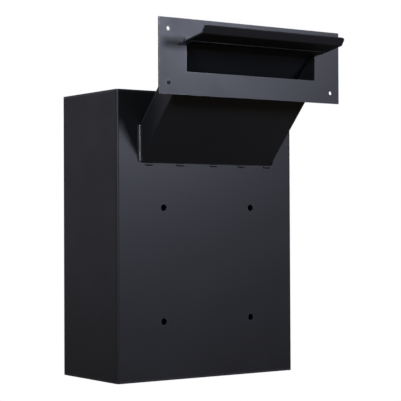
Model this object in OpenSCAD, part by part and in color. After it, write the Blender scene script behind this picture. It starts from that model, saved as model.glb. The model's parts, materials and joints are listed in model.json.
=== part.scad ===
// Through-the-wall drop box: a locking sheet-steel box that stands indoors against a wall, and a
// sloping telescopic chute that carries a slotted faceplate with a hinged flap on the outdoor side.
// Millimetres. X runs across the box, +Y points indoors to the door, +Z points up. The origin is
// the centre of the four wall-fixing holes, on the outer face of the back panel.

/* [Box] */
// Width of the box
box_w = 305; // [290:1:340]
// Height of the box
box_h = 406; // [400:1:430]
// Depth of the box
box_d = 152; // [145:1:180]
// Thickness of the steel sheet
sheet = 2; // [1.8:0.1:2.2]
// Outside radius of a folded edge
fold_r = 4; // [3:0.5:5]
// Width of the jamb that frames the door
jamb_w = 18; // [16:1:20]

/* [Wall fixing] */
// Spacing of the wall holes across the box
wall_dx = 152; // [130:1:180]
// Spacing of the wall holes up the box
wall_dz = 160; // [130:1:180]
// Diameter of a wall hole
wall_hole_d = 9.5; // [8:0.5:11]
// Height of the hole pattern's centre above the base of the box
wall_up = 162.5; // [158:0.5:165]

/* [Chute] */
// Slope of the chute above the horizontal
slope = 47; // [46:0.5:48]
// Outside width of the sleeve
sleeve_w = 230; // [224:1:236]
// Outside depth of the sleeve, square to its slope
sleeve_h = 36; // [35:0.5:37]
// Height of the sleeve's lower edge at the back panel, above the origin
sleeve_up = 142; // [141:0.5:144]
// Outside radius of the sleeve's lower folds
sleeve_fold_r = 3; // [2.5:0.5:4]
// Clearance all round the inner chute
slide_gap = 0.5; // [0.4:0.1:0.6]

/* [Faceplate] */
// Width of the faceplate
plate_w = 309; // [300:1:320]
// Height of the faceplate
plate_h = 102; // [100:1:106]
// Thickness of the faceplate
plate_t = 2; // [1.8:0.1:2.4]
// Distance from the back panel to the back of the faceplate, with the chute pushed home
plate_reach = 106.6; // [105:0.2:108]
// Height of the faceplate's lower edge above the origin
plate_up = 228; // [226:0.5:230]
// Spacing of the faceplate's screw holes across
plate_dx = 278; // [270:1:284]
// Spacing of the faceplate's screw holes up
plate_dz = 72; // [68:1:76]
// Diameter of a faceplate screw hole
plate_hole_d = 5.5; // [4.5:0.5:6.5]
// Height of the letter slot's lower edge above the origin
slot_up = 259.5; // [259:0.1:260]
// Width of the letter slot
slot_w = 220; // [210:1:220]
// Height of the letter slot
slot_h = 35.5; // [34:0.5:36]

/* [Flap] */
// Width of the flap
flap_w = 238; // [232:1:244]
// Length of the flap from its hinge pin to the fold of its lip
flap_len = 46.4; // [44:0.2:50]
// Length of the lip beyond the fold
lip_len = 12; // [9:0.5:14]
// Angle by which the lip is folded
lip_bend = 45; // [35:1:50]
// Radius of the lip's outer corners
lip_r = 4; // [2:0.5:5]
// Angle from hanging shut at which the flap is drawn
flap_open = 100; // [80:1:160]

/* [Door] */
// Gap round the door
door_gap = 1.5; // [1.2:0.1:2]
// Depth of the door's folded edges, from its front face
door_fold = 14; // [13:0.5:15]
// Distance of the lock from the middle of the box
lock_x = 108; // [104:1:110]
// Reach of the lock's cam beyond its axis
cam_reach = 35; // [33:0.5:36]

/* [Hidden] */
$fn = 64;

eps = 1;
far = 600;
powder_black = [0.15, 0.155, 0.175];
weld_black = [0.19, 0.195, 0.21];
zinc = [0.62, 0.63, 0.64];
chrome = [0.78, 0.79, 0.8];

// box
box_low = -wall_up;
box_top = box_low + box_h;
half_w = box_w / 2;
opening_x = half_w - jamb_w;
opening_low = box_low + jamb_w;
opening_top = box_top - jamb_w;
jamb_y = box_d - sheet;

// chute, whose lower outside face meets the back panel at sleeve_up
inner_w = sleeve_w - 2 * sheet - 2 * slide_gap;
inner_low = sheet + slide_gap;
inner_high = sleeve_h - sheet - slide_gap;
plate_back = -plate_reach;
plate_front = plate_back - plate_t;
weld_leg = 4;
mouth_gap = 0.4;
sleeve_mouth = plate_back + weld_leg + mouth_gap;

// baffle
baffle_t = 1.5;
baffle_gap = 0.5;
baffle_w = box_w - 2 * sheet - 2 * baffle_gap;
baffle_flange = 22;
baffle_top_y = 70;
baffle_low_y = 38;
baffle_fold_z = 130;
baffle_low_z = 118;

// flap hinge
flap_pin_r = 1.2;
flap_barrel_r = 2.4;
flap_leaf_t = 1;
flap_leaf_w = 12;
flap_fixed_leaf_w = 5;
flap_hinge_len = 228;
flap_knuckles = 19;
plate_clear = 0.4;
slot_clear = 0.1;
flap_axis_y = plate_front - flap_barrel_r - plate_clear;
flap_axis_z = slot_up + slot_h + flap_barrel_r + slot_clear;
flap_t = 2;
flap_fold_r = 1.5;
flap_inner_y = flap_barrel_r - flap_leaf_t;

// door hinge
door_pin_r = 1.5;
door_barrel_r = 3;
door_leaf_t = 1.2;
door_leaf_w = 14;
door_knuckles = 15;
hinge_clear = 0.4;
knuckle_gap = 0.3;
pin_clear = 0.05;
door_axis_x = opening_x - door_barrel_r - hinge_clear;
door_axis_y = jamb_y - door_leaf_t + door_barrel_r;
door_hinge_inset = 6;
door_hinge_len = opening_top - opening_low - 2 * door_hinge_inset;
door_hinge_low = opening_low + door_hinge_inset;

// door
door_fold_r = 3;
door_left = -opening_x + door_gap;
door_right = door_axis_x - door_barrel_r - hinge_clear;
door_low = opening_low + door_gap;
door_top = opening_top - door_gap;
door_back = box_d - door_fold;

// lock
lock_z = (box_low + box_top) / 2;
bezel_r = 11;
bezel_t = 3;
barrel_r = 9.5;
barrel_len = 16;
plug_r = 6.5;
plug_recess = 0.8;
keyway_w = 1.6;
keyway_h = 8.5;
keyway_depth = 12;
nut_flats = 24;
nut_t = 4;
tail_side = 8;
cam_t = 2.5;
cam_w = 16;
cam_hub_r = 9;
washer_r = 6;
washer_t = 1;
screw_r = 2.5;
screw_head_r = 4.5;
screw_head_t = 3;
screw_len = 10;
cam_gap = 1;
barrel_end = box_d - barrel_len;
cam_front = barrel_end - cam_gap;
cam_back = cam_front - cam_t;

// strike for the cam
strike_t = 2;
strike_h = 60;
strike_leg = 26;
strike_reach = 20;
strike_gap = 0.5;
strike_front = door_back - strike_gap;

// Height of a line in the side view that runs along the chute, off mm above its lower face
function chute_z(y, off) = sleeve_up + off / cos(slope) - y * tan(slope);

// Where that line reaches a given height
function chute_y(z, off) = (sleeve_up + off / cos(slope) - z) / tan(slope);

// Extrudes a side-view outline, drawn as (y, z), across the width w
module across(w) {
  translate([-w / 2, 0, 0])
    rotate([90, 0, 90])
      linear_extrude(height = w)
        children();
}

// Extrudes a cross-section, drawn as (x, height above the lower face), along the chute
module along_chute() {
  translate([0, 0, sleeve_up])
    rotate([90 - slope, 0, 0])
      translate([0, 0, -sleeve_h * 2])
        linear_extrude(height = far)
          children();
}

// Everything between two depths
module depth_slab(y0, y1) {
  translate([-far, y0, -far])
    cube([2 * far, y1 - y0, 2 * far]);
}

// A rectangle from p to q with the corners named in round ([low left, low right, high right,
// high left], 1 for a round one) rounded to r
module cornered(p, q, r, round) {
  w = q[0] - p[0];
  h = q[1] - p[1];
  sx = [0, 1, 1, 0];
  sy = [0, 0, 1, 1];
  translate(p) {
    difference() {
      square([w, h]);
      for (i = [0:3])
        if (round[i] == 1)
          translate([sx[i] * (w - r), sy[i] * (h - r)])
            square(r);
    }
    for (i = [0:3])
      if (round[i] == 1)
        translate([r + sx[i] * (w - 2 * r), r + sy[i] * (h - 2 * r)])
          circle(r);
  }
}

// The box as one block, pulled in by inset on every side
module box_block(inset) {
  r = fold_r - inset;
  intersection() {
    translate([0, 0, box_low + inset])
      linear_extrude(height = box_h - 2 * inset)
        cornered([-half_w + inset, inset], [half_w - inset, box_d - inset], r, [1, 1, 1, 1]);
    across(box_w)
      cornered([inset, box_low + inset], [box_d - inset, box_top - inset], r, [0, 1, 1, 0]);
  }
}

// The folded shell with its door opening, before it is parted into three sheets
module box_shell() {
  difference() {
    box_block(0);
    box_block(sheet);
    translate([-opening_x, box_d - 2 * fold_r, opening_low])
      cube([2 * opening_x, 4 * fold_r, opening_top - opening_low]);
  }
}

// The part of the shell that belongs to the top sheet, or mirrored in height, to the bottom one
module top_zone() {
  translate([-far, -far, box_top - sheet])
    cube([2 * far, 2 * far, far]);
  translate([-half_w + fold_r, box_d - fold_r, opening_top])
    cube([box_w - 2 * fold_r, 2 * fold_r, jamb_w]);
}

module bottom_zone() {
  translate([0, 0, box_low + box_top])
    mirror([0, 0, 1])
      top_zone();
}

// Inside of the sleeve as a long bar, used as the passage through the back panel
module sleeve_bore() {
  along_chute()
    translate([-sleeve_w / 2 + sheet, sheet])
      square([sleeve_w - 2 * sheet, sleeve_h - 2 * sheet]);
}

// A run of round holes through the XZ plane on a rectangle centred at height z
module hole_pattern(dx, dz, z, d) {
  for (sx = [-1, 1])
    for (sz = [-1, 1])
      translate([sx * dx / 2, 0, z + sz * dz / 2])
        rotate([90, 0, 0])
          cylinder(d = d, h = 2 * far, center = true);
}

// One leaf of a knuckled hinge. The pin runs along Z from 0 to len. The plate spreads towards +X,
// its outer face drop mm from the pin's axis on the -Y side, and this leaf owns every second
// knuckle from first.
module hinge_leaf(len, knuckles, first, barrel_r, bore_r, leaf_t, leaf_w, drop) {
  pitch = len / knuckles;
  root = barrel_r + hinge_clear;
  difference() {
    union() {
      translate([root, -drop, 0])
        cube([leaf_w, leaf_t, len]);
      for (i = [first:2:knuckles - 1])
        translate([0, 0, i * pitch + knuckle_gap / 2]) {
          cylinder(r = barrel_r, h = pitch - knuckle_gap);
          translate([0, -drop, 0])
            cube([root + eps, leaf_t, pitch - knuckle_gap]);
        }
    }
    translate([0, 0, -eps])
      cylinder(r = bore_r, h = len + 2 * eps);
  }
}

// The door as a block that stops at right, pulled in by inset at its folded edges and its face
module door_block(inset, right) {
  r = door_fold_r - inset;
  back = door_back - (inset > 0 ? eps : 0);
  intersection() {
    translate([0, 0, door_low + inset])
      linear_extrude(height = door_top - door_low - 2 * inset)
        cornered([door_left + inset, back], [right, box_d - inset], r, [0, 0, 0, 1]);
    across(2 * far)
      cornered([back, door_low + inset], [box_d - inset, door_top - inset], r, [0, 1, 1, 0]);
  }
}

// Puts a lock part, drawn along +Z, on the lock's axis with its zero at depth y, pointing to +Y
module on_lock(y) {
  translate([-lock_x, y, lock_z])
    rotate([-90, 0, 0])
      children();
}

module body_wrap() {
  color(powder_black)
    difference() {
      box_shell();
      top_zone();
      bottom_zone();
      intersection() {
        sleeve_bore();
        depth_slab(-eps, fold_r);
      }
      intersection() {
        hole_pattern(wall_dx, wall_dz, 0, wall_hole_d);
        depth_slab(-eps, fold_r);
      }
    }
}

module top_panel() {
  color(powder_black)
    intersection() {
      box_shell();
      top_zone();
    }
}

module bottom_panel() {
  color(powder_black)
    intersection() {
      box_shell();
      bottom_zone();
    }
}

module chute_sleeve() {
  half = sleeve_w / 2;
  color(powder_black)
    intersection() {
      along_chute()
        difference() {
          cornered([-half, 0], [half, sleeve_h - sheet], sleeve_fold_r, [1, 1, 0, 0]);
          cornered([-half + sheet, sheet], [half - sheet, sleeve_h], sleeve_fold_r - sheet,
            [1, 1, 0, 0]);
        }
      depth_slab(sleeve_mouth, 0);
    }
}

module chute_sleeve_cover() {
  color(powder_black)
    intersection() {
      along_chute()
        translate([-sleeve_w / 2, sleeve_h - sheet])
          square([sleeve_w, sheet]);
      depth_slab(sleeve_mouth, 0);
    }
}

module sleeve_side_welds() {
  leg = 5;
  low = sleeve_up + 2;
  sleeve_top = chute_z(0, sleeve_h);
  color(weld_black)
    for (side = [0, 1])
      mirror([side, 0, 0])
        translate([sleeve_w / 2, 0, low])
          linear_extrude(height = sleeve_top - low)
            polygon([[0, 0], [leg, 0], [0, -leg]]);
}

module sleeve_stitch_welds() {
  stitch_len = 11;
  stitch_x = [-100, -48, 10, 60, 106];
  drop = 4.5;
  depth = 3;
  color(weld_black)
    for (x = stitch_x)
      translate([x, 0, 0])
        across(stitch_len)
          polygon([[0, sleeve_up - drop], [0, sleeve_up], [-depth, chute_z(-depth, 0)]]);
}

module baffle() {
  top = box_top - sheet;
  end_y = baffle_top_y + baffle_flange;
  color(powder_black)
    across(baffle_w)
      polygon([
        [end_y, top], [baffle_top_y, top], [baffle_low_y, baffle_fold_z],
        [baffle_low_y, baffle_low_z], [baffle_low_y + baffle_t, baffle_low_z],
        [baffle_low_y + baffle_t, baffle_fold_z], [baffle_top_y + baffle_t, top - baffle_t],
        [end_y, top - baffle_t]
      ]);
}

module lock_strike() {
  wall_x = -half_w + sheet;
  color(powder_black)
    translate([wall_x, 0, lock_z - strike_h / 2]) {
      translate([0, strike_front - strike_leg, 0])
        cube([strike_t, strike_leg, strike_h]);
      translate([0, strike_front - strike_t, 0])
        cube([strike_reach, strike_t, strike_h]);
    }
}

module door_hinge_fixed_leaf() {
  color(powder_black)
    translate([door_axis_x, door_axis_y, door_hinge_low])
      hinge_leaf(door_hinge_len, door_knuckles, 0, door_barrel_r, door_pin_r, door_leaf_t,
        door_leaf_w, door_barrel_r);
}

module door_hinge_pin() {
  color(zinc)
    translate([door_axis_x, door_axis_y, door_hinge_low])
      cylinder(r = door_pin_r, h = door_hinge_len);
}

module door_panel() {
  color(powder_black)
    difference() {
      door_block(0, door_right);
      door_block(sheet, door_right + far);
      on_lock(jamb_y - eps)
        cylinder(r = barrel_r, h = sheet + 2 * eps);
    }
}

module door_hinge_moving_leaf() {
  color(powder_black)
    translate([door_axis_x, door_axis_y, door_hinge_low])
      mirror([1, 0, 0])
        hinge_leaf(door_hinge_len, door_knuckles, 1, door_barrel_r, door_pin_r + pin_clear,
          door_leaf_t, door_leaf_w, door_barrel_r);
}

module lock_cylinder() {
  chamfer = 1;
  color(chrome)
    difference() {
      union() {
        on_lock(barrel_end)
          cylinder(r = barrel_r, h = barrel_len + eps);
        on_lock(box_d)
          cylinder(r = bezel_r, h = bezel_t - chamfer);
        on_lock(box_d + bezel_t - chamfer)
          cylinder(r1 = bezel_r, r2 = bezel_r - chamfer, h = chamfer);
      }
      on_lock(barrel_end - eps)
        cylinder(r = plug_r + pin_clear, h = barrel_len + bezel_t + 2 * eps);
    }
}

module lock_nut() {
  color(zinc)
    on_lock(jamb_y - nut_t)
      difference() {
        cylinder(d = nut_flats / cos(30), h = nut_t, $fn = 6);
        translate([0, 0, -eps])
          cylinder(r = barrel_r, h = nut_t + 2 * eps);
      }
}

module lock_plug() {
  face = box_d + bezel_t - plug_recess;
  color(chrome)
    difference() {
      union() {
        on_lock(cam_front)
          cylinder(r = plug_r, h = face - cam_front);
        on_lock(cam_back)
          translate([-tail_side / 2, -tail_side / 2, 0])
            cube([tail_side, tail_side, cam_t + eps]);
      }
      on_lock(face - keyway_depth)
        translate([-keyway_w / 2, -keyway_h / 2, 0])
          cube([keyway_w, keyway_h, keyway_depth + eps]);
      on_lock(cam_back - eps)
        cylinder(r = screw_r, h = screw_len - washer_t - screw_r + eps);
    }
}

module lock_cam() {
  color(zinc)
    on_lock(cam_back)
      linear_extrude(height = cam_t)
        difference() {
          union() {
            circle(cam_hub_r);
            translate([-cam_w / 2, -cam_reach + cam_w / 2])
              square([cam_w, cam_reach - cam_w / 2]);
            translate([0, -cam_reach + cam_w / 2])
              circle(cam_w / 2);
          }
          square(tail_side, center = true);
        }
}

module cam_washer() {
  color(zinc)
    on_lock(cam_back - washer_t)
      difference() {
        cylinder(r = washer_r, h = washer_t);
        translate([0, 0, -eps])
          cylinder(r = screw_r, h = washer_t + 2 * eps);
      }
}

module cam_screw() {
  shank_len = screw_len - screw_r;
  drive_r = 2.2;
  drive_depth = 1.6;
  color(zinc)
    difference() {
      union() {
        on_lock(cam_back - washer_t - screw_head_t)
          cylinder(r = screw_head_r, h = screw_head_t);
        on_lock(cam_back - washer_t)
          cylinder(r = screw_r, h = shank_len);
      }
      on_lock(cam_back - washer_t - screw_head_t - eps)
        cylinder(r = drive_r, h = drive_depth + eps, $fn = 6);
    }
}

// A sloping side-view outline from the back panel to depth y, between low and high mm above the
// sleeve's lower face, that turns level at height entry_z before it reaches y
module chute_outline(start, y, low, high, entry_z) {
  polygon([
    [start, chute_z(start, low)], [start, chute_z(start, high)], [y, chute_z(y, high)],
    [y, entry_z], [chute_y(entry_z, low), entry_z]
  ]);
}

module inner_chute() {
  wall_high = inner_high - sheet;
  color(powder_black)
    difference() {
      across(inner_w)
        chute_outline(0, plate_back, inner_low, wall_high, slot_up - sheet);
      across(inner_w - 2 * sheet)
        chute_outline(eps, plate_back - eps, inner_low + sheet, wall_high + eps, slot_up);
    }
}

module inner_chute_cover() {
  color(powder_black)
    intersection() {
      along_chute()
        translate([-inner_w / 2, inner_high - sheet])
          square([inner_w, sheet]);
      depth_slab(plate_back, 0);
    }
}

module faceplate() {
  corner_r = 1;
  middle_z = plate_up + plate_h / 2;
  color(powder_black)
    difference() {
      translate([0, plate_back, 0])
        rotate([90, 0, 0])
          linear_extrude(height = plate_t)
            cornered([-plate_w / 2, plate_up], [plate_w / 2, plate_up + plate_h], corner_r,
              [1, 1, 1, 1]);
      translate([-slot_w / 2, plate_front - eps, slot_up])
        cube([slot_w, plate_t + 2 * eps, slot_h]);
      hole_pattern(plate_dx, plate_dz, middle_z, plate_hole_d);
    }
}

module faceplate_welds() {
  bead_len = 8;
  bead_pitch = 15;
  first_z = slot_up + 4;
  color(weld_black)
    for (side = [0, 1])
      for (i = [0:2])
        mirror([side, 0, 0])
          translate([inner_w / 2, plate_back, first_z + i * bead_pitch])
            linear_extrude(height = bead_len)
              polygon([[0, 0], [weld_leg, 0], [0, weld_leg]]);
}

// Puts a flap-hinge part, drawn with its pin along +Z and its plate towards +X, on the pin's axis
module on_flap_pin() {
  rotate([0, -90, 180])
    translate([0, 0, -flap_hinge_len / 2])
      children();
}

// Swings a part of the flap, drawn hanging shut with the pin at the origin, to its drawn angle
module opened_flap() {
  translate([0, flap_axis_y, flap_axis_z])
    rotate([-flap_open, 0, 0])
      children();
}

// Its plate lies on the faceplate, a little further from the pin than the moving leaf's
module flap_hinge_fixed_leaf() {
  color(powder_black)
    translate([0, flap_axis_y, flap_axis_z])
      on_flap_pin()
        hinge_leaf(flap_hinge_len, flap_knuckles, 0, flap_barrel_r, flap_pin_r, flap_leaf_t,
          flap_fixed_leaf_w, flap_barrel_r + plate_clear);
}

module flap_hinge_pin() {
  color(zinc)
    translate([0, flap_axis_y, flap_axis_z])
      on_flap_pin()
        cylinder(r = flap_pin_r, h = flap_hinge_len);
}

module flap() {
  outer_r = flap_fold_r + flap_t;
  tangent = outer_r * tan(lip_bend / 2);
  outer_y = flap_inner_y - flap_t;
  centre_y = outer_y - flap_fold_r;
  fold_z = -flap_len + tangent;
  root = flap_barrel_r + hinge_clear;
  color(powder_black)
    opened_flap() {
      across(flap_w) {
        translate([outer_y, fold_z])
          square([flap_t, -root - fold_z]);
        translate([centre_y, fold_z])
          intersection() {
            difference() {
              circle(outer_r);
              circle(flap_fold_r);
            }
            polygon([[0, 0], [far, 0], [far, -far * tan(lip_bend)]]);
          }
      }
      translate([0, centre_y, fold_z])
        rotate([-lip_bend, 0, 0])
          translate([0, outer_r, 0])
            rotate([90, 0, 0])
              linear_extrude(height = flap_t)
                cornered([-flap_w / 2, tangent - lip_len], [flap_w / 2, 0], lip_r, [1, 1, 0, 0]);
    }
}

module flap_hinge_moving_leaf() {
  color(powder_black)
    opened_flap()
      on_flap_pin()
        mirror([1, 0, 0])
          hinge_leaf(flap_hinge_len, flap_knuckles, 1, flap_barrel_r, flap_pin_r + pin_clear,
            flap_leaf_t, flap_leaf_w, flap_barrel_r);
}

body_wrap();
top_panel();
bottom_panel();
chute_sleeve();
chute_sleeve_cover();
sleeve_side_welds();
sleeve_stitch_welds();
baffle();
lock_strike();
door_hinge_fixed_leaf();
door_hinge_pin();
door_panel();
door_hinge_moving_leaf();
lock_cylinder();
lock_nut();
lock_plug();
lock_cam();
cam_washer();
cam_screw();
inner_chute();
inner_chute_cover();
faceplate();
faceplate_welds();
flap_hinge_fixed_leaf();
flap_hinge_pin();
flap();
flap_hinge_moving_leaf();
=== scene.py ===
import json
import random
from math import cos, pi, radians, sin, tan

import bmesh
import bpy
from mathutils import Matrix, Vector


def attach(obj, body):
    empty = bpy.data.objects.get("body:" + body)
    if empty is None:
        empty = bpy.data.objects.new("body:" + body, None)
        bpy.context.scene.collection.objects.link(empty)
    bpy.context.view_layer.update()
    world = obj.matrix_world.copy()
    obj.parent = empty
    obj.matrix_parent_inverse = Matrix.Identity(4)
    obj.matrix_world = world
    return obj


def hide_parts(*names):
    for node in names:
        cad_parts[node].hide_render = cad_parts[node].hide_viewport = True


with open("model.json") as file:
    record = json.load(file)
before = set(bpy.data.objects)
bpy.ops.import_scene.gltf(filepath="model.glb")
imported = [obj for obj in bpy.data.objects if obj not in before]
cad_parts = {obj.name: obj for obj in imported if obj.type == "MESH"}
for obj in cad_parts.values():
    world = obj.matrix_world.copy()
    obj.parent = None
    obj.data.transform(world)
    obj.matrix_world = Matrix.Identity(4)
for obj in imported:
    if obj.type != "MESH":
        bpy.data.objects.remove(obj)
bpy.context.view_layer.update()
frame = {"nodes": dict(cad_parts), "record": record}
mm = 0.001


def deselect():
    active = bpy.context.view_layer.objects.active
    if active and active.mode != "OBJECT":
        bpy.ops.object.mode_set(mode="OBJECT")
    bpy.ops.object.select_all(action="DESELECT")


def hold(piece):
    deselect()
    piece.select_set(True)
    bpy.context.view_layer.objects.active = piece


def edit(piece):
    hold(piece)
    bpy.ops.object.mode_set(mode="EDIT")


def leave():
    bpy.ops.object.mode_set(mode="OBJECT")


def settle(piece, place=None):
    if place is not None:
        piece.matrix_world = place
    hold(piece)
    bpy.ops.object.transform_apply(location=True, rotation=True, scale=True)
    return piece


def pick(kind, test):
    # selects the corners, edges or faces that pass a test on their place or normal
    bpy.ops.mesh.select_mode(type=kind)
    bpy.ops.mesh.select_all(action="DESELECT")
    mesh = bpy.context.edit_object.data
    shape = bmesh.from_edit_mesh(mesh)
    parts = {"VERT": shape.verts, "EDGE": shape.edges, "FACE": shape.faces}[kind]
    for part in [p for p in parts if test(p)]:
        part.select_set(True)
    shape.select_flush_mode()
    bmesh.update_edit_mesh(mesh)


def at(axis, value):
    # true where every corner lies at that many millimetres on the axis
    def test(part):
        corners = getattr(part, "verts", None) or [part]
        return all(abs(c.co[axis] - value * mm) < 2e-5 for c in corners)

    return test


def along(axis):
    def test(edge):
        a, b = (c.co for c in edge.verts)
        return abs((b - a).normalized()[axis]) > 0.999

    return test


def both(*tests):
    return lambda part: all(t(part) for t in tests)


def addBlock(name, low, high):
    deselect()
    middle = [(a + b) / 2 * mm for a, b in zip(low, high)]
    bpy.ops.mesh.primitive_cube_add(size=1, location=middle)
    piece = bpy.context.object
    piece.name = name
    piece.scale = [(b - a) * mm for a, b in zip(low, high)]
    return settle(piece)


def addRod(name, centre, radius, length, axis, sides=48):
    turn = [(0, pi / 2, 0), (-pi / 2, 0, 0), (0, 0, 0)][axis]
    deselect()
    bpy.ops.mesh.primitive_cylinder_add(
        vertices=sides,
        radius=radius * mm,
        depth=length * mm,
        location=[c * mm for c in centre],
        rotation=turn,
    )
    piece = bpy.context.object
    piece.name = name
    return settle(piece)


def twin(piece, name):
    hold(piece)
    bpy.ops.object.duplicate(linked=False)
    other = bpy.context.object
    other.name = name
    return other


def joined(name, pieces):
    deselect()
    for piece in pieces:
        piece.select_set(True)
    bpy.context.view_layer.objects.active = pieces[0]
    if len(pieces) > 1:
        bpy.ops.object.join()
    whole = bpy.context.object
    whole.name = name
    return whole


def applied(piece, kind, **values):
    modifier = piece.modifiers.new(kind.lower(), kind)
    for key, value in values.items():
        setattr(modifier, key, value)
    hold(piece)
    bpy.ops.object.modifier_apply(modifier=modifier.name)
    return piece


def carve(piece, cutter, operation="DIFFERENCE", keep=False):
    applied(piece, "BOOLEAN", object=cutter, operation=operation, solver="EXACT")
    if not keep:
        bpy.data.objects.remove(cutter)
    return piece


def thicken(piece, thickness):
    return applied(
        piece, "SOLIDIFY", thickness=thickness * mm, offset=-1,
        solidify_mode="NON_MANIFOLD", nonmanifold_thickness_mode="CONSTRAINTS",
    )


def cutOff(piece, point, normal):
    # cuts away all that lies on the normal's side of a plane, and closes the cut
    edit(piece)
    bpy.ops.mesh.select_all(action="SELECT")
    bpy.ops.mesh.bisect(plane_co=point, plane_no=normal, use_fill=True, clear_outer=True)
    leave()
    return piece


def soften(piece, width=0.35, segments=2):
    # breaks the sharp edges and smooths the folds
    if width:
        applied(
            piece, "BEVEL", width=width * mm, segments=segments, limit_method="ANGLE", angle_limit=radians(35)
        )
    hold(piece)
    bpy.ops.object.shade_smooth_by_angle(angle=radians(35))
    return applied(piece, "WEIGHTED_NORMAL", keep_sharp=True, weight=80)


class Paint:
    # a procedural material: each call adds a node and links its inputs by name or number
    def __init__(self, name):
        self.material = bpy.data.materials.new(name)
        self.material.use_nodes = True
        self.tree = self.material.node_tree
        self.tree.nodes.clear()
        self.output = self.add("ShaderNodeOutputMaterial")
        self.shader = self.add("ShaderNodeBsdfPrincipled")
        self.tree.links.new(self.shader.outputs[0], self.output.inputs[0])
        self.place = self.add("ShaderNodeTexCoord").outputs["Object"]

    def add(self, kind, inputs=None, **values):
        node = self.tree.nodes.new(kind)
        for key, value in values.items():
            setattr(node, key, value)
        for key, value in (inputs or {}).items():
            if isinstance(value, bpy.types.NodeSocket):
                self.tree.links.new(value, node.inputs[key])
            else:
                node.inputs[key].default_value = value
        return node

    def noise(self, scale, detail=2.0, rough=0.5, stretch=None):
        place = self.place
        if stretch:
            place = self.add("ShaderNodeMapping", {"Vector": place, "Scale": stretch}).outputs[0]
        inputs = {"Vector": place, "Scale": scale, "Detail": detail, "Roughness": rough}
        return self.add("ShaderNodeTexNoise", inputs).outputs["Fac"]

    def spread(self, value, low, high, start=0.3, end=0.7):
        inputs = {"Value": value, "From Min": start, "From Max": end, "To Min": low, "To Max": high}
        return self.add("ShaderNodeMapRange", inputs).outputs["Result"]

    def sum(self, a, b, operation="ADD"):
        return self.add("ShaderNodeMath", {0: a, 1: b}, operation=operation).outputs[0]

    def between(self, share, first, second):
        node = self.add("ShaderNodeMix", data_type="RGBA")
        self.tree.links.new(share, node.inputs[0])
        for socket, colour in zip(node.inputs[6:8], (first, second)):
            if isinstance(colour, bpy.types.NodeSocket):
                self.tree.links.new(colour, socket)
            else:
                socket.default_value = (*colour, 1)
        return node.outputs[2]

    def edges(self, radius, gain):
        # a mask along the edges, from how far the rounded normal leans away; on the coat it carries both wear
        # and a painted highlight
        rounded = self.add("ShaderNodeBevel", {"Radius": radius * mm}, samples=4)
        flat = self.add("ShaderNodeNewGeometry")
        lean = self.add("ShaderNodeVectorMath", {0: rounded.outputs[0], 1: flat.outputs["Normal"]})
        lean.operation = "DOT_PRODUCT"
        return self.spread(lean.outputs["Value"], gain, 0.0, 0.86, 1.0)

    def bump(self, height, strength, distance, under=None):
        inputs = {"Height": height, "Strength": strength, "Distance": distance * mm}
        if under:
            inputs["Normal"] = under
        return self.add("ShaderNodeBump", inputs).outputs[0]

    def set(self, **inputs):
        for key, value in inputs.items():
            socket = self.shader.inputs[key.replace("_", " ")]
            if isinstance(value, bpy.types.NodeSocket):
                self.tree.links.new(value, socket)
            else:
                socket.default_value = value
        return self.material


def powderCoat(name, look):
    paint = Paint(name)
    cloud = paint.spread(paint.noise(7, 3), 0, 1)
    base = paint.between(cloud, look["dark"], look["light"])
    rim = paint.edges(1.8, look["wearAndHighlight"])
    # edges and folds painted lighter: partly a worn coat, partly a painted highlight along the bends
    wornAndHighlit = paint.between(rim, base, look["edge"])
    dust = paint.spread(paint.noise(1400, 1, 0.3), 0, look["dust"], 0.72, 0.8)
    colour = paint.between(dust, wornAndHighlit, look["speck"])
    patches = paint.spread(paint.noise(22, 4, 0.6), look["smooth"], look["rough"])
    fine = paint.spread(paint.noise(2600, 2), -0.02, 0.02)
    peel = paint.sum(paint.noise(520, 2, 0.4), paint.sum(paint.noise(1900, 2), 0.35, "MULTIPLY"))
    return paint.set(
        Base_Color=colour,
        Roughness=paint.sum(paint.sum(patches, fine), paint.sum(rim, -0.3, "MULTIPLY")),
        Normal=paint.bump(peel, look["peel"], 0.05),
        IOR=look["ior"],
    )


def metal(name, look):
    paint = Paint(name)
    stain = paint.spread(paint.noise(look["stainScale"], 4, 0.6), 0, 1)
    colour = paint.between(stain, look["dark"], look["light"])
    grain = paint.noise(look["grainScale"], 3, 0.6, look["grain"])
    rubbed = paint.between(paint.edges(0.4, 0.5), colour, look["edge"])
    return paint.set(
        Base_Color=rubbed,
        Metallic=1.0,
        Roughness=paint.spread(grain, look["smooth"], look["rough"]),
        Normal=paint.bump(grain, look["bump"], 0.02),
    )


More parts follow.
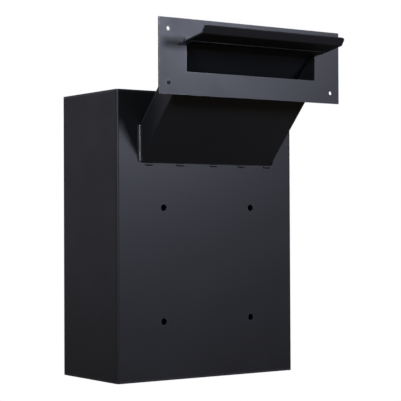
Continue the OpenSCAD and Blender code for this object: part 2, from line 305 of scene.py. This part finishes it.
coatLook = {
    "dark": (0.0085, 0.0088, 0.0102),
    "light": (0.0107, 0.0110, 0.0127),
    # edge colour: the lighter coat on worn edges, and also a painted highlight on the bends
    "edge": (0.070, 0.072, 0.080),
    "speck": (0.06, 0.06, 0.062),
    "wearAndHighlight": 0.8,
    "dust": 0.25,
    "smooth": 0.45,
    "rough": 0.51,
    "peel": 0.12,
    "ior": 1.5,
}
paints = {
    "powder_coat": powderCoat("satinBlackCoat", coatLook),
    "coated_weld": powderCoat("coatOnWeld", {**coatLook, "smooth": 0.5, "rough": 0.58}),
    "side_bead": powderCoat("glossyCoatOnBead", {**coatLook, "smooth": 0.14, "rough": 0.24, "ior": 1.9}),
    "hinge_coat": powderCoat("hingeCoat", {**coatLook, "smooth": 0.43, "rough": 0.49}),
    "pin_steel": metal(
        "drawnPinSteel",
        {
            "dark": (0.42, 0.42, 0.43), "light": (0.56, 0.56, 0.57), "edge": (0.62, 0.62, 0.62),
            "stainScale": 60, "grainScale": 900, "grain": (0.05, 1, 0.05),
            "smooth": 0.28, "rough": 0.44, "bump": 0.2,
        },
    ),
    "lock_chrome": metal(
        "lockChrome",
        {
            "dark": (0.70, 0.71, 0.73), "light": (0.80, 0.81, 0.82), "edge": (0.88, 0.88, 0.88),
            "stainScale": 90, "grainScale": 1200, "grain": (1, 1, 1),
            "smooth": 0.10, "rough": 0.2, "bump": 0.05,
        },
    ),
    "zinc_plate": metal(
        "brightZinc",
        {
            "dark": (0.50, 0.52, 0.56), "light": (0.66, 0.68, 0.70), "edge": (0.78, 0.79, 0.80),
            "stainScale": 120, "grainScale": 1500, "grain": (1, 1, 1),
            "smooth": 0.26, "rough": 0.42, "bump": 0.12,
        },
    ),
}


def finished(piece, body, slot, *nodes, paint=None):
    # paints a piece, hangs it on its body and lets it stand for its CAD nodes
    piece.data.materials.clear()
    piece.data.materials.append(paints[paint or slot])
    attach(piece, body)
    if nodes:
        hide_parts(*nodes)
    return piece


box = {"halfWidth": 152.5, "depth": 152, "low": -162.5, "top": 243.5, "sheet": 2, "fold": 4, "jamb": 18}
wallHoles = {"across": 76, "up": 80, "radius": 4.75}
sleeve = {
    "halfWidth": 115, "height": 36, "foot": 142, "slope": 47, "fold": 3, "mouth": -102.2,
    "rawStart": -200, "rawEnd": 80,  # the uncut length along the slope
}


def upTheSlope():
    foot = Matrix.Translation((0, 0, sleeve["foot"] * mm))
    return foot @ Matrix.Rotation(-radians(sleeve["slope"]), 4, "X")


def foldedShell():
    half, depth, low, top = box["halfWidth"], box["depth"], box["low"], box["top"]
    shell = addBlock("shell", (-half, 0, low), (half, depth, top))
    edit(shell)
    pick("EDGE", lambda e: along(2)(e) or (along(0)(e) and at(1, depth)(e)))
    bpy.ops.mesh.bevel(offset=box["fold"] * mm, segments=6, affect="EDGES")
    pick("FACE", at(1, depth))
    bpy.ops.mesh.inset(thickness=(box["jamb"] - box["fold"]) * mm)
    bpy.ops.mesh.delete(type="FACE")
    leave()
    return thicken(shell, box["sheet"])


def endZone(name, seam, edge, outer):
    # the room that belongs to the top or bottom sheet: the sheet itself and its front flange
    inset = box["halfWidth"] - box["fold"]
    lip = box["depth"] - box["fold"]
    zone = addBlock(name, (-200, -20, min(seam, outer)), (200, 180, max(seam, outer)))
    flange = addBlock("flange", (-inset, lip, min(edge, outer)), (inset, 170, max(edge, outer)))
    return carve(zone, flange, "UNION")


shell = foldedShell()
topZone = endZone("topZone", box["top"] - box["sheet"], box["top"] - box["jamb"], 260)
lowZone = endZone("lowZone", box["low"] + box["sheet"], box["low"] + box["jamb"], -180)
topSheet = carve(twin(shell, "topSheet"), topZone, "INTERSECT", keep=True)
lowSheet = carve(twin(shell, "bottomSheet"), lowZone, "INTERSECT", keep=True)
boxWrap = shell
boxWrap.name = "boxWrap"
carve(boxWrap, topZone)
carve(boxWrap, lowZone)
holes = [
    addRod("hole", (x, 0, z), wallHoles["radius"], 12, 1)
    for x in (-wallHoles["across"], wallHoles["across"])
    for z in (-wallHoles["up"], wallHoles["up"])
]
carve(boxWrap, joined("holes", holes))
bore = sleeve["halfWidth"] - box["sheet"]
passage = addBlock(
    "passage", (-bore, -60, box["sheet"]), (bore, 24, sleeve["height"] - box["sheet"])
)  # reaches past the back panel on both sides
carve(boxWrap, settle(passage, upTheSlope()))
for piece, node in ((boxWrap, "body_wrap"), (topSheet, "top_panel"), (lowSheet, "bottom_panel")):
    finished(soften(piece, 0.4), "box", "powder_coat", node)
print("box done")


def channel(name, half, low, high, fold, wall):
    piece = addBlock(name, (-half, sleeve["rawStart"], low), (half, sleeve["rawEnd"], high))
    edit(piece)
    pick("EDGE", both(along(1), at(2, low)))
    bpy.ops.mesh.bevel(offset=fold * mm, segments=6, affect="EDGES")
    ends = at(1, sleeve["rawStart"]), at(1, sleeve["rawEnd"])
    pick("FACE", lambda f: at(2, high)(f) or ends[0](f) or ends[1](f))
    bpy.ops.mesh.delete(type="FACE")
    leave()
    thicken(piece, wall)
    return settle(piece, upTheSlope())


def trimmed(piece, start, end):
    cutOff(piece, (0, end * mm, 0), (0, 1, 0))
    return cutOff(piece, (0, start * mm, 0), (0, -1, 0))


roof = sleeve["height"] - box["sheet"]
chuteSleeve = channel("chuteSleeve", sleeve["halfWidth"], 0, roof, sleeve["fold"], box["sheet"])
trimmed(chuteSleeve, sleeve["mouth"], 0)
finished(soften(chuteSleeve, 0.3), "box", "powder_coat", "chute_sleeve")
cover = addBlock(
    "chuteSleeveCover",
    (-sleeve["halfWidth"], sleeve["rawStart"], roof),
    (sleeve["halfWidth"], sleeve["rawEnd"], sleeve["height"]),
)
trimmed(settle(cover, upTheSlope()), sleeve["mouth"], 0)
finished(soften(cover, 0.3), "box", "powder_coat", "chute_sleeve_cover")
print("sleeve done")


def weldBead(name, size, seed):
    # a rippled bead that stands on the origin and climbs along Z
    length, radius, pitch, depth = size["length"], size["radius"], size["ripple"], size["depth"]
    draw = random.Random(seed)
    stub, taper = 0.4 * pitch, 1 - 2.5 * depth
    bead = addRod(name, (0, 0, stub / 2), radius * taper, stub, 2, size["sides"])
    ripples = max(2, round(length / pitch))
    rise = (length - stub) / ripples
    height, width = stub, radius * taper
    edit(bead)
    pick("FACE", lambda f: f.normal.z > 0.9)
    for ripple in range(ripples):
        crest = radius * draw.uniform(1 - depth / 2, 1)
        end = taper if ripple == ripples - 1 else 1 - depth
        for step, share in ((0.3, 1 - depth / 5), (0.3, 1), (0.25, 1 - 0.45 * depth), (0.15, end)):
            bpy.ops.mesh.extrude_region_move(TRANSFORM_OT_translate={"value": (0, 0, rise * step * mm)})
            height += rise * step
            change = crest * share / width
            width = crest * share
            bpy.ops.transform.resize(value=(change, change, 1), center_override=(0, 0, height * mm))
    leave()
    return bead


sideWeld = {
    "x": 115, "inset": 5.5, "low": 144, "buried": 1,
    "length": 50.8, "radius": 11.6, "ripple": 2.6, "depth": 0.05, "sides": 64,
}
beads = []
for side in (-1, 1):
    bead = weldBead("sideBead", sideWeld, 11 + side)
    foot = Vector((side * (sideWeld["x"] - sideWeld["inset"]), sideWeld["inset"], sideWeld["low"])) * mm
    settle(bead, Matrix.Translation(foot))
    cutOff(bead, (side * (sideWeld["x"] - sideWeld["buried"]) * mm, 0, 0), (-side, 0, 0))
    beads.append(cutOff(bead, (0, sideWeld["buried"] * mm, 0), (0, 1, 0)))
sideWelds = joined("sleeveSideWelds", beads)
finished(soften(sideWelds, 0), "box", "coated_weld", "sleeve_side_welds", paint="side_bead")

stitch = {
    "starts": (-100, -48, 10, 60, 106), "y": -0.8, "z": 140.4,
    "length": 11, "radius": 1.8, "ripple": 2.2, "depth": 0.08, "sides": 24,
}
beads = []
for number, start in enumerate(stitch["starts"]):
    bead = weldBead("stitch", stitch, 30 + number)
    foot = Vector((start - stitch["length"] / 2, stitch["y"], stitch["z"])) * mm
    beads.append(settle(bead, Matrix.Translation(foot) @ Matrix.Rotation(pi / 2, 4, "Y")))
stitchWelds = joined("sleeveStitchWelds", beads)
finished(soften(stitchWelds, 0), "box", "coated_weld", "sleeve_stitch_welds")

plateWeld = {
    "x": 112.7, "y": -106.4, "first": 263.5, "pitch": 15,
    "length": 8, "radius": 3.5, "ripple": 2, "depth": 0.16, "sides": 16,
}
beads = []
for side in (-1, 1):
    for number in range(3):
        bead = weldBead("tack", plateWeld, 50 + number * 2 + side)
        low = plateWeld["first"] + number * plateWeld["pitch"]
        settle(bead, Matrix.Translation(Vector((side * plateWeld["x"], plateWeld["y"], low)) * mm))
        cutOff(bead, (side * (plateWeld["x"] - 1.2) * mm, 0, 0), (-side, 0, 0))
        beads.append(cutOff(bead, (0, (plateWeld["y"] - 1.2) * mm, 0), (0, -1, 0)))
plateWelds = joined("faceplateWelds", beads)
finished(soften(plateWelds, 0), "chute", "coated_weld", "faceplate_welds")
print("welds done")


plate = {
    "halfWidth": 154.5, "front": -108.6, "back": -106.6, "low": 228, "high": 330, "corner": 1,
    "slotHalf": 110, "slotLow": 259.5, "slotHigh": 295, "slotCut": 6.5,
    "holeX": 139, "holeUp": 36, "holeRadius": 2.75,
}
faceplate = addBlock(
    "faceplateSheet",
    (-plate["halfWidth"], plate["front"], plate["low"]),
    (plate["halfWidth"], plate["back"], plate["high"]),
)
edit(faceplate)
pick("EDGE", along(1))
bpy.ops.mesh.bevel(offset=plate["corner"] * mm, segments=3, affect="EDGES")
leave()
slot = addBlock(
    "slot",
    (-plate["slotHalf"], plate["front"] - plate["slotCut"], plate["slotLow"]),
    (plate["slotHalf"], plate["back"] + plate["slotCut"], plate["slotHigh"]),
)
carve(faceplate, slot)
middle = (plate["low"] + plate["high"]) / 2
holes = [
    addRod("hole", (x, (plate["front"] + plate["back"]) / 2, middle + z), plate["holeRadius"], 12, 1, 40)
    for x in (-plate["holeX"], plate["holeX"])
    for z in (-plate["holeUp"], plate["holeUp"])
]
carve(faceplate, joined("holes", holes))
finished(soften(faceplate, 0.35), "chute", "powder_coat", "faceplate")
print("faceplate done")


def hingeLeaf(name, size, first, side, bore, drop):
    # pin along Z from the origin, plate towards side * X, its outer face drop below the pin in Y
    pitch = size["length"] / size["knuckles"]
    tall = pitch - size["gap"]
    barrel = addRod(name, (0, 0, tall / 2), size["radius"], tall, 2, 32)
    edit(barrel)
    pick("FACE", lambda f: abs(f.normal.z) > 0.9)
    bpy.ops.mesh.inset(thickness=(size["radius"] - bore) * mm)
    bpy.ops.mesh.delete(type="FACE")
    pick("EDGE", lambda e: e.is_boundary)
    bpy.ops.mesh.bridge_edge_loops()
    bpy.ops.mesh.select_all(action="SELECT")
    bpy.ops.mesh.normals_make_consistent(inside=False)
    leave()
    root = size["radius"] + size["clear"]
    low, high = sorted((0, side * (root + 1)))
    tongue = addBlock("tongue", (low, -drop, 0), (high, -drop + size["leaf"], tall))
    carve(barrel, tongue, "UNION")
    count = len(range(first, size["knuckles"], 2))
    applied(
        barrel, "ARRAY", count=count, use_relative_offset=False, use_constant_offset=True,
        constant_offset_displace=(0, 0, 2 * pitch * mm),
    )
    settle(barrel, Matrix.Translation((0, 0, (first * pitch + size["gap"] / 2) * mm)))
    low, high = sorted((side * root, side * (root + size["leafWidth"])))
    leaf = addBlock("leaf", (low, -drop, 0), (high, -drop + size["leaf"], size["length"]))
    edit(leaf)
    pick("EDGE", both(along(1), lambda e: abs(e.verts[0].co.x) > (root + 2) * mm))
    bpy.ops.mesh.bevel(offset=1.5 * mm, segments=4, affect="EDGES")
    leave()
    return carve(barrel, leaf, "UNION")


doorHinge = {
    "length": 358, "knuckles": 15, "radius": 3, "gap": 0.3, "clear": 0.4, "leaf": 1.2, "leafWidth": 14,
    "bore": 1.5, "x": 131.1, "y": 151.8, "low": -138.5,
}
onDoorPin = Matrix.Translation(Vector((doorHinge["x"], doorHinge["y"], doorHinge["low"])) * mm)
fixed = hingeLeaf("doorHingeFixedLeaf", doorHinge, 0, 1, doorHinge["bore"], doorHinge["radius"])
settle(fixed, onDoorPin)
finished(soften(fixed, 0.15), "box", "hinge_coat", "door_hinge_fixed_leaf")
moving = hingeLeaf("doorHingeMovingLeaf", doorHinge, 1, -1, doorHinge["bore"] + 0.05, doorHinge["radius"])
settle(moving, onDoorPin)
finished(soften(moving, 0.15), "door", "hinge_coat", "door_hinge_moving_leaf")

flapHinge = {
    "length": 228, "knuckles": 19, "radius": 2.4, "gap": 0.3, "clear": 0.4, "leaf": 1, "leafWidth": 12,
    "fixedWidth": 5, "bore": 1.2, "y": -111.4, "z": 297.5, "open": 100, "standOff": 0.4,
}
flapAxis = Matrix.Translation(Vector((0, flapHinge["y"], flapHinge["z"])) * mm)
opened = flapAxis @ Matrix.Rotation(-radians(flapHinge["open"]), 4, "X")
upright = Matrix(((0, 0, 1, 0), (0, -1, 0, 0), (1, 0, 0, 0), (0, 0, 0, 1)))
upright = Matrix.Translation((-flapHinge["length"] / 2 * mm, 0, 0)) @ upright
narrow = {**flapHinge, "leafWidth": flapHinge["fixedWidth"]}
fixed = hingeLeaf("flapHingeFixedLeaf", narrow, 0, 1, narrow["bore"], narrow["radius"] + narrow["standOff"])
settle(fixed, flapAxis @ upright)
finished(soften(fixed, 0.12), "chute", "hinge_coat", "flap_hinge_fixed_leaf")
moving = hingeLeaf("flapHingeMovingLeaf", flapHinge, 1, -1, flapHinge["bore"] + 0.05, flapHinge["radius"])
settle(moving, opened @ upright)
finished(soften(moving, 0.12), "flap", "hinge_coat", "flap_hinge_moving_leaf")
print("hinges done")


flapSize = {
    "halfWidth": 119, "sheet": 2, "inner": 1.4, "root": 2.8, "length": 46.4,
    "lip": 12, "bend": 45, "fold": 3.5, "corner": 4,
}


def foldedFlap():
    # drawn hanging shut, as the sheet's inner face, then thickened towards the street
    deselect()
    bpy.ops.mesh.primitive_plane_add(size=1, rotation=(-pi / 2, 0, 0))
    piece = bpy.context.object
    piece.name = "flapSheet"
    tall = flapSize["length"] - flapSize["root"]
    piece.scale = (2 * flapSize["halfWidth"] * mm, tall * mm, 1)
    piece.location = (0, flapSize["inner"] * mm, -(flapSize["root"] + tall / 2) * mm)
    settle(piece)
    bend = radians(flapSize["bend"])
    edit(piece)
    pick("EDGE", at(2, -flapSize["length"]))
    drop = (0, -flapSize["lip"] * sin(bend) * mm, -flapSize["lip"] * cos(bend) * mm)
    bpy.ops.mesh.extrude_region_move(TRANSFORM_OT_translate={"value": drop})
    end = -flapSize["length"] - flapSize["lip"] * cos(bend)
    pick("VERT", at(2, end))
    bpy.ops.mesh.bevel(offset=flapSize["corner"] * mm, segments=6, affect="VERTICES")
    pick("EDGE", at(2, -flapSize["length"]))
    bpy.ops.mesh.bevel(offset=flapSize["fold"] * tan(bend / 2) * mm, segments=6, affect="EDGES")
    bpy.ops.mesh.select_all(action="SELECT")
    bpy.ops.mesh.normals_make_consistent(inside=False)
    facing = bmesh.from_edit_mesh(piece.data)
    if max(facing.faces, key=lambda f: f.calc_area()).normal.y < 0:
        bpy.ops.mesh.flip_normals()
    leave()
    return thicken(piece, flapSize["sheet"])


flap = settle(foldedFlap(), opened)
finished(soften(flap, 0.35), "flap", "powder_coat", "flap")
print("flap done")


door = {
    "left": -133, "right": 127.7, "back": 138, "front": 152,
    "low": -143, "top": 224, "fold": 3, "sheet": 2,
}
lock = {
    "x": -108, "z": 40.5, "bezel": 11, "bezelFront": 155, "barrel": 9.5, "barrelEnd": 136, "thread": 0.35,
    "plug": 6.5, "plugFront": 154.2, "plugEnd": 135, "keyWide": 1.6, "keyTall": 8.5, "keyDeep": 12,
    "tail": 4, "tailStart": 136, "tailEnd": 132.5, "screw": 2.5,
}
doorPanel = addBlock(
    "doorPanel", (door["left"], door["back"], door["low"]), (door["right"], door["front"], door["top"])
)
edit(doorPanel)
pick(
    "EDGE",
    lambda e: at(1, door["front"])(e) and (along(0)(e) or (along(2)(e) and at(0, door["left"])(e))),
)
bpy.ops.mesh.bevel(offset=door["fold"] * mm, segments=6, affect="EDGES")
pick("FACE", lambda f: at(1, door["back"])(f) or at(0, door["right"])(f))
bpy.ops.mesh.delete(type="FACE")
leave()
thicken(doorPanel, door["sheet"])
carve(doorPanel, addRod("hole", (lock["x"], 151, lock["z"]), lock["barrel"], 8, 1, 64))
finished(soften(doorPanel, 0.35), "door", "powder_coat", "door_panel")


def lockCylinder():
    bezelMiddle = (door["front"] + lock["bezelFront"]) / 2
    piece = addRod("lockCylinder", (lock["x"], bezelMiddle, lock["z"]), lock["bezel"], 3, 1, 64)
    edit(piece)
    pick("EDGE", at(1, lock["bezelFront"]))
    bpy.ops.mesh.bevel(offset=1 * mm, segments=3, affect="EDGES")
    pick("FACE", at(1, door["front"]))
    bpy.ops.mesh.inset(thickness=(lock["bezel"] - lock["barrel"]) * mm)
    turns = 18
    run = (door["front"] - lock["barrelEnd"]) / (2 * turns)
    y, size = door["front"], lock["barrel"]
    for turn in range(2 * turns):
        bpy.ops.mesh.extrude_region_move(TRANSFORM_OT_translate={"value": (0, -run * mm, 0)})
        y -= run
        wanted = lock["barrel"] - (0 if turn % 2 else lock["thread"])
        bpy.ops.transform.resize(
            value=(wanted / size, 1, wanted / size),
            center_override=(lock["x"] * mm, y * mm, lock["z"] * mm),
        )
        size = wanted
    leave()
    middle = (lock["x"], 145, lock["z"])
    return carve(piece, addRod("bore", middle, lock["plug"] + 0.05, 40, 1, 64))


def lockPlug():
    middle = (lock["plugFront"] + lock["plugEnd"]) / 2
    tall = lock["plugFront"] - lock["plugEnd"]
    piece = addRod("lockPlug", (lock["x"], middle, lock["z"]), lock["plug"], tall, 1, 64)
    edit(piece)
    pick("EDGE", at(1, lock["plugFront"]))
    bpy.ops.mesh.bevel(offset=0.4 * mm, segments=2, affect="EDGES")
    leave()
    half = (lock["keyWide"] / 2, lock["keyTall"] / 2)
    keyway = addBlock(
        "keyway",
        (lock["x"] - half[0], lock["plugFront"] - lock["keyDeep"], lock["z"] - half[1]),
        (lock["x"] + half[0], lock["plugFront"] + 2, lock["z"] + half[1]),
    )
    carve(piece, keyway)
    side = lock["tail"]
    tail = addBlock(
        "tail",
        (lock["x"] - side, lock["tailEnd"], lock["z"] - side),
        (lock["x"] + side, lock["tailStart"], lock["z"] + side),
    )
    carve(piece, tail, "UNION")
    return carve(piece, addRod("tap", (lock["x"], lock["tailStart"], lock["z"]), lock["screw"], 9, 1, 32))


finished(soften(lockCylinder(), 0.12), "door", "lock_chrome", "lock_cylinder")
finished(soften(lockPlug(), 0.12), "lock", "lock_chrome", "lock_plug")
print("door and lock done")


slots = {row["node"]: row["material_slot"] for row in frame["record"]["subparts"]}
for name, node in frame["nodes"].items():
    node.data.materials.clear()
    node.data.materials.append(paints[slots[name]])


view = {"at": (-1.1409, -1.6133, 0.0594), "yaw": 34.96, "pitch": 0.9, "roll": -0.26, "lens": 123.5}
yaw, pitch, roll = (radians(view[k]) for k in ("yaw", "pitch", "roll"))
ahead = Vector((sin(yaw) * cos(pitch), cos(yaw) * cos(pitch), sin(pitch)))
level = Vector((cos(yaw), -sin(yaw), 0))
above = level.cross(ahead)
right = level * cos(roll) + above * sin(roll)
up = above * cos(roll) - level * sin(roll)
cameraData = bpy.data.cameras.new("camera")
cameraData.lens = view["lens"]
cameraData.sensor_width = 36
cameraData.clip_start, cameraData.clip_end = 0.05, 60
camera = bpy.data.objects.new("camera", cameraData)
bpy.context.scene.collection.objects.link(camera)
camera.matrix_world = Matrix.Translation(view["at"]) @ Matrix((right, up, -ahead)).transposed().to_4x4()
bpy.context.scene.camera = camera


floorLook = {"size": 30, "colour": (1.0, 1.0, 1.0), "glow": 1.0}
deselect()
bpy.ops.mesh.primitive_plane_add(size=floorLook["size"], location=(0, 0, box["low"] * mm - 0.0005))
floor = bpy.context.object
floor.name = "floor"
floor.visible_diffuse = False
floor.visible_glossy = False
floor.visible_shadow = False
floorPaint = bpy.data.materials.new("paleFloor")
floorPaint.use_nodes = True
tree = floorPaint.node_tree
tree.nodes.clear()
glow = tree.nodes.new("ShaderNodeEmission")
glow.inputs["Color"].default_value = (*floorLook["colour"], 1)
glow.inputs["Strength"].default_value = floorLook["glow"]
tree.links.new(glow.outputs[0], tree.nodes.new("ShaderNodeOutputMaterial").inputs[0])
floor.data.materials.append(floorPaint)

worldLook = {"seen": (1, 1, 1), "colour": (1.0, 0.87, 0.70), "strength": 0.07}
world = bpy.data.worlds.new("studio")
bpy.context.scene.world = world
world.use_nodes = True
tree = world.node_tree
tree.nodes.clear()
worldOut = tree.nodes.new("ShaderNodeOutputWorld")
blend = tree.nodes.new("ShaderNodeMixShader")
seen = tree.nodes.new("ShaderNodeBackground")
seen.inputs["Color"].default_value = (*worldLook["seen"], 1)
ambient = tree.nodes.new("ShaderNodeBackground")
ambient.inputs["Color"].default_value = (*worldLook["colour"], 1)
ambient.inputs["Strength"].default_value = worldLook["strength"]
tree.links.new(tree.nodes.new("ShaderNodeLightPath").outputs["Is Camera Ray"], blend.inputs[0])
tree.links.new(ambient.outputs[0], blend.inputs[1])
tree.links.new(seen.outputs[0], blend.inputs[2])
tree.links.new(blend.outputs[0], worldOut.inputs[0])

lights = {
    "key": {
        "at": (0.48, -1.2, 0.60), "aim": (0, -0.05, 0.12),
        "size": 0.28, "power": 13.3, "colour": (0.77, 0.80, 1.0),
    },
    "leftFront": {
        "at": (-1.3, -0.9, 0.5), "aim": (0, 0, 0.1),
        "size": 0.2, "power": 9.5, "colour": (0.74, 0.83, 1.0),
    },
    "left": {
        "at": (-1.7, 0.3, 0.5), "aim": (0, 0.05, 0.05),
        "size": 1.6, "power": 1.6, "colour": (0.80, 0.75, 1.0),
    },
    "leftBack": {
        "at": (-1.1, 1.35, 0.35), "aim": (0, 0.05, 0.05),
        "size": 1.0, "power": 1.8, "colour": (0.83, 0.78, 1.0),
    },
    "back": {
        "at": (0.7, 1.6, 0.8), "aim": (0, 0.1, 0),
        "size": 1.2, "power": 16, "colour": (0.9, 0.93, 1.0),
    },
}
for name, setup in lights.items():
    lamp = bpy.data.lights.new(name, "AREA")
    lamp.shape = "SQUARE"
    lamp.size = setup["size"]
    lamp.energy = setup["power"]
    lamp.color = setup["colour"]
    lightPiece = bpy.data.objects.new(name, lamp)
    bpy.context.scene.collection.objects.link(lightPiece)
    lightPiece.location = setup["at"]
    aim = Vector(setup["aim"]) - Vector(setup["at"])
    lightPiece.rotation_euler = aim.to_track_quat("-Z", "Y").to_euler()
bpy.context.scene.view_settings.view_transform = "Standard"
print("scene done")
